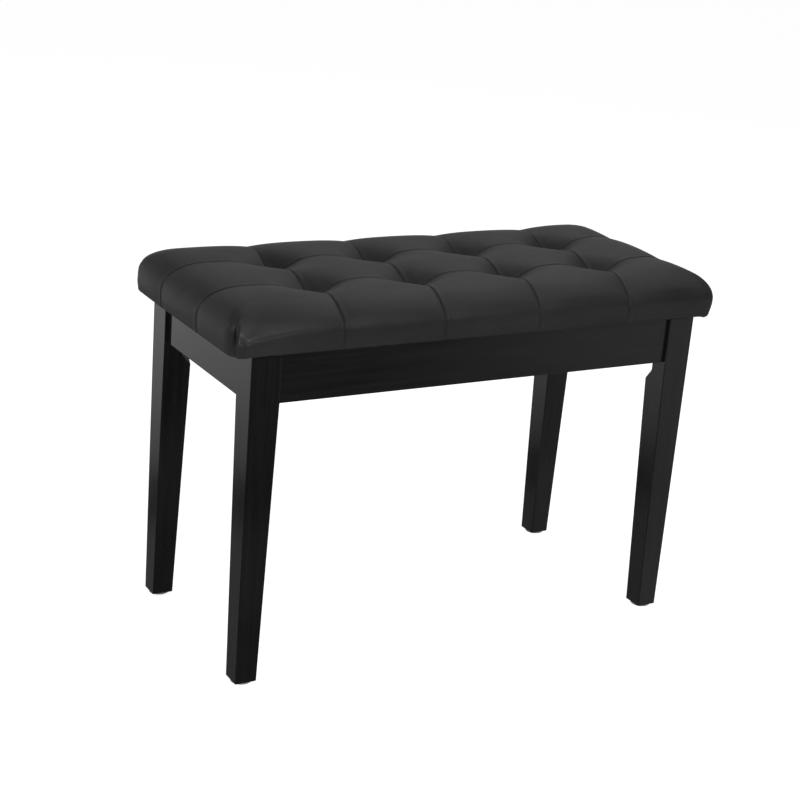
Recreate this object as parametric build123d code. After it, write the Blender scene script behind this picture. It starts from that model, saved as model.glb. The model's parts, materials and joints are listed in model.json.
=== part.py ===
from build123d import *
import os
from math import cos, radians, sin, sqrt

# Duet piano bench: four tapered legs, an apron box that stores sheet music, and a tufted
# lid that tips up on two rear hinges and is steadied by two slotted stays.
# Millimetres. X is the long side, -Y the front, +Y the hinge side, Z up.
# The origin is under the middle of the bench, on the floor.

# ---- Driving dimensions ----
LENGTH, DEPTH, HEIGHT = 750, 340, 500        # over the cushion
LEG_X, LEG_Y = 341, 157                      # outer faces of the legs
LEG_TOP, LEG_FOOT = 41, 30                   # leg width at the apron and at the foot
PAD_R, PAD_T = 14, 3                         # felt foot pads
LID_Z = 448                                  # underside of the lid
LID_GAP = 2                                  # lid to box, held open by the bumpers
APRON_Z = 382                                # lower edge of the aprons
APRON_T, APRON_SETBACK = 15, 5
EASE = 1.0                                   # rounding of the lacquered edges
TENON_T, TENON_L, TENON_LOW, TENON_HIGH = 8, 18, 395, 434
CHAMFER, CHAMFER_DROP, CHAMFER_RUNOUT = 14, 20, 17
FLOOR_LOW, FLOOR_T, GROOVE = 388, 4, 5
FLOOR_PLAY = 0.5
BLOCK_T, BLOCK_H = 20, 30                    # diagonal corner blocks
BOLT_R, BOLT_IN_LEG, BOLT_TAIL = 3, 30, 18
WASHER_R, WASHER_T = 8, 1.5
FIT = 0.05                                   # radial clearance of holes and bores
COVER_T, BOARD_T = 1.2, 12
BOARD_MARGIN = 9                             # board edge inside the cushion's side
PLAN_R, CROWN_R, TUCK_R = 35, 30, 6          # cushion corners, top edge, bottom edge
TURN_IN = 35                                 # leather turned under, from the cushion's side
BUMPER_R = 5
STAPLE = (10, 1.2, 0.5)
STAPLE_PITCH = 46
STAPLE_INSET = 23                            # staple row, from the cushion's side

HINGE_X, HINGE_LENGTH = 230, 50
HINGE_Y, HINGE_DROP = 155.5, 3.5             # pin line: behind the apron, below the lid
KNUCKLE_R, KNUCKLES, KNUCKLE_PLAY = 3.3, 5, 0.2
LEAF_T, LEAF_W, LEAF_CUT = 1.2, 25, 4.2
PIN_R = 1.5
LID_OPEN = 80

STAY_LENGTH, STAY_W, STAY_T = 150, 13, 2
STAY_PIVOT = (68, -7)                        # forward of the hinge pin and above it
STAY_SLOPE, STAY_RATIO = -6.5, -0.47         # arm's angle when closed, turn per lid degree
STAY_X = 313.5                               # arm's inner face
STUD_R, STUD_HEAD_R, STUD_HEAD_T = 3, 5, 1.5
SLOT_PLAY, SLOT_END = 0.3, 0.6
TRACK_X, TRACK_T, TRACK_BORDER = 316.5, 1.5, 5
FOOT_LENGTH, FOOT_HEIGHT, FOOT_R = 10, 20, 3
EAR_LENGTH, FOOT_REACH = 17, 17             # from the foot's outer end; foot end past the stud
BRACKET_T, BRACKET_W, BRACKET_REACH, BRACKET_X = 1.8, 20, 16.5, 310.7

# ---- Derived dimensions ----
BOX_TOP = LID_Z - LID_GAP
APRON_X, APRON_Y = LEG_X - APRON_SETBACK, LEG_Y - APRON_SETBACK
INNER_X, INNER_Y = APRON_X - APRON_T, APRON_Y - APRON_T
LEG_IN_X, LEG_IN_Y = LEG_X - LEG_TOP, LEG_Y - LEG_TOP
PIN_Z = LID_Z - HINGE_DROP
BOARD_Z = LID_Z + COVER_T
BLOCK_Z = FLOOR_LOW + FLOOR_T + 1
BOLT_Z = BLOCK_Z + BLOCK_H / 2
LOW = Align.MIN
MID = Align.CENTER

os.makedirs("parts", exist_ok=True)


def save(name, shape):
    shape.label = name
    export_step(shape, f"parts/{name}.step")


def block(x, y, z):
    """A box from three (low, high) pairs."""
    size = [high - low for low, high in (x, y, z)]
    return Pos(x[0], y[0], z[0]) * Box(*size, align=(LOW, LOW, LOW))


def group(shapes):
    """Separate solids that share one node."""
    return Compound(children=[solid for shape in shapes for solid in shape.solids()])


def four_corners(shape):
    """The rear right shape, repeated at the other three corners."""
    left = mirror(shape, about=Plane.YZ)
    return {
        "rear_right": shape,
        "rear_left": left,
        "front_right": mirror(shape, about=Plane.XZ),
        "front_left": mirror(left, about=Plane.XZ),
    }


def both_sides(shape):
    return {"right": shape, "left": mirror(shape, about=Plane.YZ)}


# ---- Fasteners: each is drawn along +Z, its head's face at z = 0 ----
def countersunk(length, shank_r=1.75, head_r=3.4, grow=0.0):
    head_h = head_r - shank_r
    outline = Polyline(
        (0, 0), (head_r + grow, 0), (shank_r + grow, head_h), (shank_r + grow, length + grow),
        (0, length + grow), close=True)
    return revolve(Plane.XZ * make_face(outline), Axis.Z)


def pan_head(length, shank_r=2.0, head_r=4.0, head_h=2.5):
    head = Pos(0, 0, -head_h) * Cylinder(head_r, head_h, align=(MID, MID, LOW))
    head = fillet(head.edges().group_by(Axis.Z)[0], head_h * 0.6)
    return head + Cylinder(shank_r, length, align=(MID, MID, LOW))


# ---- Places that several pieces share ----
def toward(point, direction):
    """A location whose +Z looks along direction."""
    return Plane(origin=point, z_dir=direction).location


DIAGONAL = (1, 1, 0)
BLOCK_FACE = LEG_IN_X + LEG_IN_Y + CHAMFER    # x + y on the leg's chamfer
BLOCK_BACK = BLOCK_FACE - BLOCK_T * sqrt(2)   # x + y on the block's inner face
CHAMFER_MID = (LEG_IN_X + CHAMFER / 2, LEG_IN_Y + CHAMFER / 2)
BOLT_START = CHAMFER_MID[0] - BLOCK_T / sqrt(2), CHAMFER_MID[1] - BLOCK_T / sqrt(2), BOLT_Z
SCREW_SEAT = 10                               # block left under a screw head
AT_LONG_APRON = toward(((BLOCK_FACE + BLOCK_BACK) / 2 - INNER_Y, INNER_Y - SCREW_SEAT, BOLT_Z), (0, 1, 0))
AT_END_APRON = toward((INNER_X - SCREW_SEAT, (BLOCK_FACE + BLOCK_BACK) / 2 - INNER_X, BOLT_Z), (1, 0, 0))
BLOCK_SCREW_L = 20


def eased(body, along):
    """Rounds the edges that run along an axis."""
    return fillet(body.edges().filter_by(along), EASE)


def leg():
    """The rear right leg. Its two outer faces are plumb; the inner ones taper to the foot."""
    corner = Pos(LEG_X, LEG_Y, 0)
    square = (Align.MAX, Align.MAX)
    foot = corner * Pos(0, 0, PAD_T) * Rectangle(LEG_FOOT, LEG_FOOT, align=square)
    knee = corner * Pos(0, 0, APRON_Z) * Rectangle(LEG_TOP, LEG_TOP, align=square)
    body = loft([foot, knee]) + extrude(knee, BOX_TOP - APRON_Z)
    upright = [e for e in body.edges() if e.length > 50 and abs(e.tangent_at(0.5).Z) > 0.9]
    body = fillet(upright, EASE)
    deep = CHAMFER / sqrt(2)
    clear = 40
    start, ramp = APRON_Z - CHAMFER_DROP, APRON_Z - CHAMFER_DROP - CHAMFER_RUNOUT
    side = Plane(origin=(*CHAMFER_MID, 0), x_dir=DIAGONAL, z_dir=(1, -1, 0))
    outline = Polyline(
        (0, BOX_TOP + 1), (0, start), (-deep, ramp), (-clear, ramp), (-clear, BOX_TOP + 1),
        close=True)
    body -= extrude(side * make_face(outline), clear, both=True)
    for tenon in (long_tenon(), end_tenon()):
        body -= tenon
    return body - bolt_hole()


def long_tenon():
    middle = (APRON_Y + INNER_Y) / 2
    return block((LEG_IN_X, LEG_IN_X + TENON_L), (middle - TENON_T / 2, middle + TENON_T / 2),
                 (TENON_LOW, TENON_HIGH))


def end_tenon():
    middle = (APRON_X + INNER_X) / 2
    return block((middle - TENON_T / 2, middle + TENON_T / 2), (LEG_IN_Y, LEG_IN_Y + TENON_L),
                 (TENON_LOW, TENON_HIGH))


def bolt_hole():
    length = BLOCK_T + BOLT_IN_LEG + 1
    return toward(BOLT_START, DIAGONAL) * Cylinder(BOLT_R + FIT, length, align=(MID, MID, LOW))


def hanger_bolt():
    """Wood thread in the leg, machine thread and wing nut inside the box."""
    length = BOLT_TAIL + BLOCK_T + BOLT_IN_LEG
    bolt = Pos(0, 0, -BOLT_TAIL) * Cylinder(BOLT_R, length, align=(MID, MID, LOW))
    bolt = chamfer(bolt.edges().filter_by(GeomType.CIRCLE).sort_by(Axis.Z)[0], 0.8)
    bolt = chamfer(bolt.edges().filter_by(GeomType.CIRCLE).sort_by(Axis.Z)[-1], 2.0)
    return toward(BOLT_START, DIAGONAL) * bolt


def washer():
    ring = Circle(WASHER_R) - Circle(BOLT_R + 4 * FIT)
    return toward(BOLT_START, DIAGONAL) * extrude(ring, -WASHER_T)


def wing_nut():
    hub_r, hub_h, wing_t, wing_reach, wing_rise = 5.5, 6, 2, 13, 12
    wing = Polyline((hub_r - 2, 0), (hub_r + 3, 0), (wing_reach, -wing_rise + 4),
                    (wing_reach - 2, -wing_rise), (hub_r + 1, -hub_h), (hub_r - 2, -hub_h), close=True)
    wing = extrude(Plane.XZ * make_face(wing), wing_t / 2, both=True)
    wing = fillet(wing.edges().filter_by(Axis.Y).sort_by(Axis.X)[-2:], 1.2)
    hub = Pos(0, 0, -hub_h) * Cylinder(hub_r, hub_h, align=(MID, MID, LOW))
    nut = hub + wing + mirror(wing, about=Plane.YZ)
    nut -= Cylinder(BOLT_R + FIT, 4 * hub_h)
    return toward(BOLT_START, DIAGONAL) * Pos(0, 0, -WASHER_T) * nut


def corner_block():
    outline = Polyline(
        (BLOCK_FACE - INNER_Y, INNER_Y), (BLOCK_BACK - INNER_Y, INNER_Y),
        (INNER_X, BLOCK_BACK - INNER_X), (INNER_X, BLOCK_FACE - INNER_X), close=True)
    body = Pos(0, 0, BLOCK_Z) * extrude(make_face(outline), BLOCK_H)
    body -= bolt_hole()
    for place in (AT_LONG_APRON, AT_END_APRON):
        body -= place * Cylinder(2.0 + FIT, 2 * SCREW_SEAT)
        body -= place * Cylinder(5.0, 20, align=(MID, MID, Align.MAX))
    return body


def long_apron():
    """The rear apron, with a tenon at each end and the floor's groove."""
    body = eased(block((-LEG_IN_X, LEG_IN_X), (INNER_Y, APRON_Y), (APRON_Z, BOX_TOP)), Axis.X)
    body += long_tenon() + mirror(long_tenon(), about=Plane.YZ)
    body -= block((-LEG_IN_X, LEG_IN_X), (INNER_Y, INNER_Y + GROOVE), (FLOOR_LOW, FLOOR_LOW + FLOOR_T))
    hole = AT_LONG_APRON * Cylinder(2.0 + FIT, 2 * (BLOCK_SCREW_L + FIT))
    return body - hole - mirror(hole, about=Plane.YZ)


def end_apron():
    """The right apron, with the stay track's screw holes on its inner face."""
    body = eased(block((INNER_X, APRON_X), (-LEG_IN_Y, LEG_IN_Y), (APRON_Z, BOX_TOP)), Axis.Y)
    body += end_tenon() + mirror(end_tenon(), about=Plane.XZ)
    body -= block((INNER_X, INNER_X + GROOVE), (-LEG_IN_Y, LEG_IN_Y), (FLOOR_LOW, FLOOR_LOW + FLOOR_T))
    hole = AT_END_APRON * Cylinder(2.0 + FIT, 2 * (BLOCK_SCREW_L + FIT))
    body -= hole
    body -= mirror(hole, about=Plane.XZ)
    for place in TRACK_SCREWS:
        body -= place * countersunk(TRACK_SCREW_L, grow=FIT)
    return body


def storage_floor():
    x, y = INNER_X + GROOVE - FLOOR_PLAY, INNER_Y + GROOVE - FLOOR_PLAY
    panel = block((-x, x), (-y, y), (FLOOR_LOW, FLOOR_LOW + FLOOR_T))
    notch = block((LEG_IN_X - FLOOR_PLAY, LEG_X), (LEG_IN_Y - FLOOR_PLAY, LEG_Y), (0, HEIGHT))
    for cut in four_corners(notch).values():
        panel -= cut
    return panel


# ---- Hinges: the box leaf is upright on the rear apron, the lid leaf lies under the lid ----
SLICE = HINGE_LENGTH / KNUCKLES
HINGE_PIN = Pos(HINGE_X, HINGE_Y, PIN_Z) * Rot(0, 90, 0)
BOX_KNUCKLES, LID_KNUCKLES = (0, 2, 4), (1, 3)
HINGE_SCREW_L = 11.5
SCREW_OFFSETS = (-17, 0, 17)
BOX_LEAF_SCREWS = [toward((HINGE_X + dx, APRON_Y + LEAF_T, PIN_Z - LEAF_W * 0.6), (0, -1, 0))
                   for dx in SCREW_OFFSETS]
LID_LEAF_SCREWS = [toward((HINGE_X + dx, HINGE_Y - LEAF_W * 0.62, LID_Z - LEAF_T), (0, 0, 1))
                   for dx in SCREW_OFFSETS]


def slice_span(index):
    start = HINGE_X - HINGE_LENGTH / 2 + index * SLICE
    return start + KNUCKLE_PLAY / 2, start + SLICE - KNUCKLE_PLAY / 2


def knuckles(indices):
    span = []
    for index in indices:
        low, high = slice_span(index)
        tube = Pos(low, HINGE_Y, PIN_Z) * Rot(0, 90, 0) * Cylinder(
            KNUCKLE_R, high - low, align=(MID, MID, LOW))
        span.append(tube)
    return span


def hinge_bore():
    return HINGE_PIN * Cylinder(PIN_R + FIT, HINGE_LENGTH + 2)


def hinge_box_leaf():
    ends = (HINGE_X - HINGE_LENGTH / 2, HINGE_X + HINGE_LENGTH / 2)
    leaf = block(ends, (APRON_Y, APRON_Y + LEAF_T), (PIN_Z - LEAF_W, PIN_Z - LEAF_CUT))
    for index, tube in zip(BOX_KNUCKLES, knuckles(BOX_KNUCKLES)):
        neck = block(slice_span(index), (APRON_Y, APRON_Y + LEAF_T), (PIN_Z - LEAF_CUT, PIN_Z))
        leaf += neck + tube
    for place in BOX_LEAF_SCREWS:
        leaf -= place * countersunk(HINGE_SCREW_L, grow=FIT)
    return leaf - hinge_bore()


def hinge_lid_leaf():
    ends = (HINGE_X - HINGE_LENGTH / 2, HINGE_X + HINGE_LENGTH / 2)
    leaf = block(ends, (HINGE_Y - LEAF_W, HINGE_Y - LEAF_CUT), (LID_Z - LEAF_T, LID_Z))
    for index, tube in zip(LID_KNUCKLES, knuckles(LID_KNUCKLES)):
        neck = block(slice_span(index), (HINGE_Y - LEAF_CUT, HINGE_Y), (LID_Z - LEAF_T, LID_Z))
        leaf += neck + tube
    for place in LID_LEAF_SCREWS:
        leaf -= place * countersunk(HINGE_SCREW_L, grow=FIT)
    return leaf - hinge_bore()


def hinge_pin():
    pin = HINGE_PIN * Cylinder(PIN_R, HINGE_LENGTH + 1)
    return chamfer(pin.edges().filter_by(GeomType.CIRCLE), 0.3)


# ---- Stays: an arm pivots on the lid's bracket and its stud slides in the box's track ----
def turned(point, angle):
    """A point given forward of and above the hinge pin, turned up by an angle."""
    forward, up = point
    c, s = cos(radians(angle)), sin(radians(angle))
    return forward * c - up * s, forward * s + up * c


def stud_place(lid_angle):
    """Where the stud is for a lid angle, as (y, z)."""
    forward, up = turned(STAY_PIVOT, lid_angle)
    reach = turned((STAY_LENGTH, 0), STAY_SLOPE + STAY_RATIO * lid_angle)
    return HINGE_Y - forward - reach[0], PIN_Z + up + reach[1]


def from_hinge(forward, up):
    return HINGE_Y - forward, PIN_Z + up


PIVOT_Y, PIVOT_Z = from_hinge(*STAY_PIVOT)
STUD_Y, STUD_Z = stud_place(0)
TRACK_SCREW_L = 15
TRACK_FEET = [(stud_place(angle)[0], stud_place(angle)[1], outward)
              for angle, outward in ((0, -1), (LID_OPEN, 1))]
TRACK_SCREWS = [toward((TRACK_X, y + outward * (FOOT_REACH - FOOT_LENGTH / 2), z + dz), (1, 0, 0))
                for y, z, outward in TRACK_FEET for dz in (-5.5, 5.5)]


def slot(width, end=0.0):
    """An arched slot along the stud's path, drawn in (y, z)."""
    path = ThreePointArc(stud_place(-end), stud_place(LID_OPEN / 2), stud_place(LID_OPEN + end))
    return SlotArc(path, width)


def side_plane(x):
    """A sketch plane at x whose own axes are Y and Z."""
    return Plane(origin=(x, 0, 0), x_dir=(0, 1, 0), z_dir=(1, 0, 0))


def stay_track():
    rim = 2 * (STUD_R + SLOT_PLAY + TRACK_BORDER)
    rail = extrude(side_plane(TRACK_X) * slot(rim), TRACK_T)
    for y, z, outward in TRACK_FEET:
        ear = Pos(y + outward * (FOOT_REACH - EAR_LENGTH / 2), z) * RectangleRounded(
            EAR_LENGTH, FOOT_HEIGHT, FOOT_R)
        foot = Pos(y + outward * (FOOT_REACH - FOOT_LENGTH / 2), z) * RectangleRounded(
            FOOT_LENGTH, FOOT_HEIGHT, FOOT_R)
        rail += extrude(side_plane(TRACK_X) * ear, TRACK_T)
        rail += extrude(side_plane(TRACK_X) * foot, INNER_X - TRACK_X)
    rail -= extrude(side_plane(TRACK_X - 1) * slot(2 * (STUD_R + SLOT_PLAY), SLOT_END), 3 * TRACK_T)
    for place in TRACK_SCREWS:
        rail -= place * countersunk(TRACK_SCREW_L, grow=FIT)
    return rail


def stud(y, z, x_low, x_high):
    """A headed rivet along X. Both heads lie outside the given span."""
    shank = Pos(x_low, y, z) * Rot(0, 90, 0) * Cylinder(STUD_R, x_high - x_low, align=(MID, MID, LOW))
    inner = Pos(x_low, y, z) * Rot(0, -90, 0) * Cylinder(STUD_HEAD_R, STUD_HEAD_T, align=(MID, MID, LOW))
    outer = Pos(x_high, y, z) * Rot(0, 90, 0) * Cylinder(STUD_HEAD_R, STUD_HEAD_T, align=(MID, MID, LOW))
    inner = fillet(inner.edges().filter_by(GeomType.CIRCLE).sort_by(Axis.X)[0], 1.0)
    return shank + inner + outer


def stay_arm():
    bar = SlotCenterToCenter(STAY_LENGTH, STAY_W)
    for x in (-STAY_LENGTH / 2, STAY_LENGTH / 2):
        bar -= Pos(x, 0) * Circle(STUD_R + FIT)
    middle = (PIVOT_Y + STUD_Y) / 2, (PIVOT_Z + STUD_Z) / 2
    return extrude(side_plane(STAY_X) * Pos(*middle) * Rot(0, 0, -STAY_SLOPE) * bar, STAY_T)


BRACKET_SCREW_L = 12
BRACKET_SCREWS = [toward((BRACKET_X - 8, PIVOT_Y + dy, LID_Z - BRACKET_T), (0, 0, 1)) for dy in (-5.5, 5.5)]


def stay_bracket():
    """An angle under the lid that carries the arm's pivot."""
    y = (PIVOT_Y - BRACKET_W / 2, PIVOT_Y + BRACKET_W / 2)
    outer = BRACKET_X + BRACKET_T
    body = block((outer - BRACKET_REACH, outer), y, (LID_Z - BRACKET_T, LID_Z))
    cheek = Pos(PIVOT_Y, PIVOT_Z) * Circle(STUD_HEAD_R + 2)
    cheek += Pos(PIVOT_Y, (PIVOT_Z + LID_Z) / 2) * Rectangle(2 * STUD_HEAD_R + 4, LID_Z - PIVOT_Z)
    body += extrude(side_plane(BRACKET_X) * cheek, BRACKET_T)
    body -= Pos(BRACKET_X, PIVOT_Y, PIVOT_Z) * Rot(0, 90, 0) * Cylinder(STUD_R + FIT, 10)
    for place in BRACKET_SCREWS:
        body -= place * countersunk(BRACKET_SCREW_L, grow=FIT)
    return body


# ---- Lid ----
def cushion(inset):
    """The upholstered block, shrunk by inset on every side."""
    plan = RectangleRounded(LENGTH - 2 * inset, DEPTH - 2 * inset, PLAN_R - inset)
    body = Pos(0, 0, LID_Z + inset) * extrude(plan, HEIGHT - LID_Z - 2 * inset)
    body = fillet(body.edges().group_by(Axis.Z)[-1], CROWN_R - inset)
    return fillet(body.edges().group_by(Axis.Z)[0], TUCK_R - inset)


def lid_screws():
    """Every screw that enters the lid from below."""
    hinge = [place * countersunk(HINGE_SCREW_L, grow=FIT) for place in LID_LEAF_SCREWS]
    stay = [place * countersunk(BRACKET_SCREW_L, grow=FIT) for place in BRACKET_SCREWS]
    return [solid for hole in hinge + stay for solid in both_sides(hole).values()]


def drilled(body, holes):
    for hole in holes:
        body -= hole
    return body


def staple_places():
    """Points round the turned-in leather, each with the staple's turn."""
    x_row, y_row = LENGTH / 2 - STAPLE_INSET, DEPTH / 2 - STAPLE_INSET
    along = [STAPLE_PITCH * (i - 6.5) for i in range(14)]
    across = [STAPLE_PITCH * (i - 2) for i in range(5)]
    front = [(x, -y_row, 0) for x in along]
    rear = [(x, y_row, 0) for x in along if abs(abs(x) - HINGE_X) > HINGE_LENGTH / 2 + 6]
    ends = [(side * x_row, y, 90) for y in across for side in (-1, 1)]
    return front + rear + ends


FRAME_OPEN = block((TURN_IN - LENGTH / 2, LENGTH / 2 - TURN_IN), (TURN_IN - DEPTH / 2, DEPTH / 2 - TURN_IN),
                   (LID_Z, BOARD_Z))
HOLES = lid_screws()
plan = RectangleRounded(LENGTH - 2 * BOARD_MARGIN, DEPTH - 2 * BOARD_MARGIN, PLAN_R - BOARD_MARGIN)
board = Pos(0, 0, BOARD_Z) * extrude(plan, BOARD_T)
filling = cushion(COVER_T)

save("lid_board", drilled(board, HOLES))
save("cushion_foam", filling - board)
save("leather_cover", drilled(cushion(0) - filling - FRAME_OPEN, HOLES))
save("dust_cover", drilled(FRAME_OPEN, HOLES))
save("cover_staples", group(
    Pos(x, y, LID_Z - STAPLE[2]) * Rot(0, 0, turn) * Box(*STAPLE, align=(MID, MID, LOW))
    for x, y, turn in staple_places()))

# ---- Box and legs ----
for corner, shape in four_corners(leg()).items():
    save(f"leg_{corner}", shape)
for corner, shape in four_corners(corner_block()).items():
    save(f"corner_block_{corner}", shape)
pad = Pos(LEG_X - LEG_FOOT / 2, LEG_Y - LEG_FOOT / 2, 0) * Cylinder(PAD_R, PAD_T, align=(MID, MID, LOW))
for corner, shape in four_corners(pad).items():
    save(f"foot_pad_{corner}", shape)

rear = long_apron()
save("apron_front", mirror(rear, about=Plane.XZ))
leaf_holes = [place * countersunk(HINGE_SCREW_L, grow=FIT) for place in BOX_LEAF_SCREWS]
save("apron_rear", drilled(rear, [h for hole in leaf_holes for h in both_sides(hole).values()]))
for side, shape in both_sides(end_apron()).items():
    save(f"apron_{side}", shape)
save("storage_floor", storage_floor())

bumper = Pos(LEG_X - LEG_TOP / 2, LEG_Y - LEG_TOP / 2, BOX_TOP) * Cylinder(
    BUMPER_R, LID_GAP, align=(MID, MID, LOW))
save("lid_bumpers", group(four_corners(bumper).values()))
save("hanger_bolts", group(four_corners(hanger_bolt()).values()))
save("bolt_washers", group(four_corners(washer()).values()))
save("wing_nuts", group(four_corners(wing_nut()).values()))
block_screws = [place * pan_head(BLOCK_SCREW_L) for place in (AT_LONG_APRON, AT_END_APRON)]
save("corner_block_screws", group(s for screw in block_screws for s in four_corners(screw).values()))

# ---- Hinges and stays ----
arm_stud = stud(STUD_Y, STUD_Z, STAY_X, TRACK_X + TRACK_T + 0.4)
pivot_stud = stud(PIVOT_Y, PIVOT_Z, BRACKET_X, STAY_X + STAY_T + 0.2)
PAIRS = {
    "hinge_box_leaf": hinge_box_leaf(), "hinge_lid_leaf": hinge_lid_leaf(), "hinge_pin": hinge_pin(),
    "stay_track": stay_track(), "stay_arm": stay_arm(), "stay_stud": arm_stud,
    "stay_bracket": stay_bracket(), "stay_pivot": pivot_stud,
}
for name, shape in PAIRS.items():
    for side, copy in both_sides(shape).items():
        save(f"{name}_{side}", copy)

SCREW_SETS = {
    "hinge_box_screws": (BOX_LEAF_SCREWS, HINGE_SCREW_L),
    "hinge_lid_screws": (LID_LEAF_SCREWS, HINGE_SCREW_L),
    "stay_track_screws": (TRACK_SCREWS, TRACK_SCREW_L),
    "stay_bracket_screws": (BRACKET_SCREWS, BRACKET_SCREW_L),
}
for name, (places, length) in SCREW_SETS.items():
    screws = [place * countersunk(length) for place in places]
    save(name, group(s for screw in screws for s in both_sides(screw).values()))
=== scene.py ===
import json
import math

import bpy
import numpy as np
from mathutils import Matrix, Vector
from mathutils.kdtree import KDTree

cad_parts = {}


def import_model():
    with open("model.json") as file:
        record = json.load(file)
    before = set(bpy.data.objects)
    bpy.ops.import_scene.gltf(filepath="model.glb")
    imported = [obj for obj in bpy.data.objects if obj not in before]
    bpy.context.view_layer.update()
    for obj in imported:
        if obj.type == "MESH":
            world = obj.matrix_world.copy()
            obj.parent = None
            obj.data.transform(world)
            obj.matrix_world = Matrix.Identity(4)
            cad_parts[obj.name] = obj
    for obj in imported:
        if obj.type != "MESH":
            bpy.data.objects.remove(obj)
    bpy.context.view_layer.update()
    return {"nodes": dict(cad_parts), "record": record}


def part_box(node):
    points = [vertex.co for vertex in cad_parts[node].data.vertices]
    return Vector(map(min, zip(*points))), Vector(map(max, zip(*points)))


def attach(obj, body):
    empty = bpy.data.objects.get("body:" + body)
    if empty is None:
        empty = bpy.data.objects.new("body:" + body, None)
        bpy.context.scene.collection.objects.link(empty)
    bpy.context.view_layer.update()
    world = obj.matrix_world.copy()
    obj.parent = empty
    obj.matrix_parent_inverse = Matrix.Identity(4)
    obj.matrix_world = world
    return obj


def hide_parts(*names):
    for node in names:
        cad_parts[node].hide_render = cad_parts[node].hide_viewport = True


# The visual model of a duet piano bench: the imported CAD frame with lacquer, metal and felt
# finishes, and a tufted leather cover and the lid's lining that stand for the CAD's plain ones.
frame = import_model()
MM = 0.001

# ---- Sizes read from the frame, in millimetres ----
cover_low, cover_high = [np.array(corner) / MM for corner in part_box("leather_cover")]
HALF_L, HALF_D = cover_high[0], cover_high[1]
UNDERSIDE, CROWN = cover_low[2], cover_high[2]
LINING_LOW, LINING_HIGH = [np.array(corner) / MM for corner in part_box("dust_cover")]


# =====================================================================================
# Materials
# =====================================================================================
class Shader:
    """A Principled material and short calls that wire procedural nodes into it."""

    def __init__(self, name, **sockets):
        self.material = bpy.data.materials.new(name)
        self.material.use_nodes = True
        self.tree = self.material.node_tree
        self.surface = self.tree.nodes["Principled BSDF"]
        for socket, value in sockets.items():
            self.surface.inputs[socket.replace("_", " ")].default_value = value
        self.coords = self.tree.nodes.new("ShaderNodeTexCoord").outputs["Object"]
        self.height = None

    def node(self, kind, inputs=None, **properties):
        made = self.tree.nodes.new(kind)
        for key, value in properties.items():
            setattr(made, key, value)
        for key, value in (inputs or {}).items():
            if isinstance(value, bpy.types.NodeSocket):
                self.tree.links.new(value, made.inputs[key])
            else:
                made.inputs[key].default_value = value
        return made

    def stretched(self, scale):
        """Object coordinates scaled along each axis, in repeats per metre."""
        return self.node("ShaderNodeMapping", {"Vector": self.coords, "Scale": scale}).outputs[0]

    def noise(self, scale, detail=4.0, roughness=0.55, distortion=0.0):
        inputs = {"Vector": self.stretched(scale), "Scale": 1.0, "Detail": detail,
                  "Roughness": roughness, "Distortion": distortion}
        return self.node("ShaderNodeTexNoise", inputs).outputs["Fac"]

    def cells(self, scale, feature="DISTANCE_TO_EDGE"):
        return self.node("ShaderNodeTexVoronoi", {"Vector": self.stretched(scale), "Scale": 1.0},
                         feature=feature).outputs["Distance"]

    def remap(self, value, low, high, to_low, to_high):
        inputs = {"Value": value, 1: low, 2: high, 3: to_low, 4: to_high}
        return self.node("ShaderNodeMapRange", inputs, clamp=True).outputs[0]

    def ramp(self, value, *stops):
        """Colour by value, from (position, (r, g, b)) stops."""
        made = self.node("ShaderNodeValToRGB", {"Fac": value})
        elements = made.color_ramp.elements
        while len(elements) < len(stops):
            elements.new(0.5)
        for element, (position, colour) in zip(elements, stops):
            element.position = position
            element.color = (*colour, 1.0)
        return made.outputs[0]

    def math(self, operation, a, b):
        return self.node("ShaderNodeMath", {0: a, 1: b}, operation=operation).outputs[0]

    def colour(self, socket):
        self.tree.links.new(socket, self.surface.inputs["Base Color"])

    def roughness(self, socket):
        self.tree.links.new(socket, self.surface.inputs["Roughness"])

    def bump(self, value, depth):
        """Adds relief of a depth in metres."""
        scaled = self.math("MULTIPLY", value, depth)
        self.height = scaled if self.height is None else self.math("ADD", self.height, scaled)

    def done(self):
        if self.height is not None:
            inputs = {"Height": self.height, "Strength": 1.0, "Distance": 1.0}
            made = self.node("ShaderNodeBump", inputs)
            self.tree.links.new(made.outputs[0], self.surface.inputs["Normal"])
        return self.material


def leather():
    """Charcoal synthetic leather: pebbled, satin, a little paler in broad random patches."""
    s = Shader("leather", Specular_IOR_Level=0.42, Coat_Weight=0.11, Coat_Roughness=0.28)
    pebbles = s.cells((950, 950, 950))
    creases = s.noise((260, 260, 260), detail=5, roughness=0.6)
    cloud = s.noise((9, 9, 9), detail=3)
    s.colour(s.ramp(cloud, (0.3, (0.0195, 0.0195, 0.0205)), (0.7, (0.0265, 0.0262, 0.0265))))
    in_pores, in_patches = s.remap(pebbles, 0.0, 0.3, 0.03, 0.0), s.remap(cloud, 0.3, 0.7, 0.40, 0.50)
    s.roughness(s.math("ADD", in_pores, in_patches))
    s.bump(s.remap(pebbles, 0.0, 0.35, 0.0, 1.0), 0.00009)
    s.bump(creases, 0.00022)
    return s.done()


def lacquer(name, grain):
    """Black piano lacquer over wood. grain is the axis it runs along."""
    s = Shader(name, Coat_Weight=0.7, Coat_Roughness=0.035, Specular_IOR_Level=0.5)
    long, across = 5.0, 190.0
    scale = [across] * 3
    scale["xyz".index(grain)] = long
    streaks = s.noise(scale, detail=6, roughness=0.6, distortion=0.6)
    peel = s.noise((140, 140, 140), detail=2)
    haze = s.noise((14, 14, 14), detail=4)
    s.colour(s.ramp(streaks, (0.35, (0.0055, 0.0053, 0.0053)), (0.75, (0.0125, 0.0108, 0.0102))))
    s.roughness(s.remap(haze, 0.3, 0.7, 0.08, 0.20))
    s.bump(streaks, 0.00002)
    s.bump(peel, 0.00003)
    return s.done()


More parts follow.
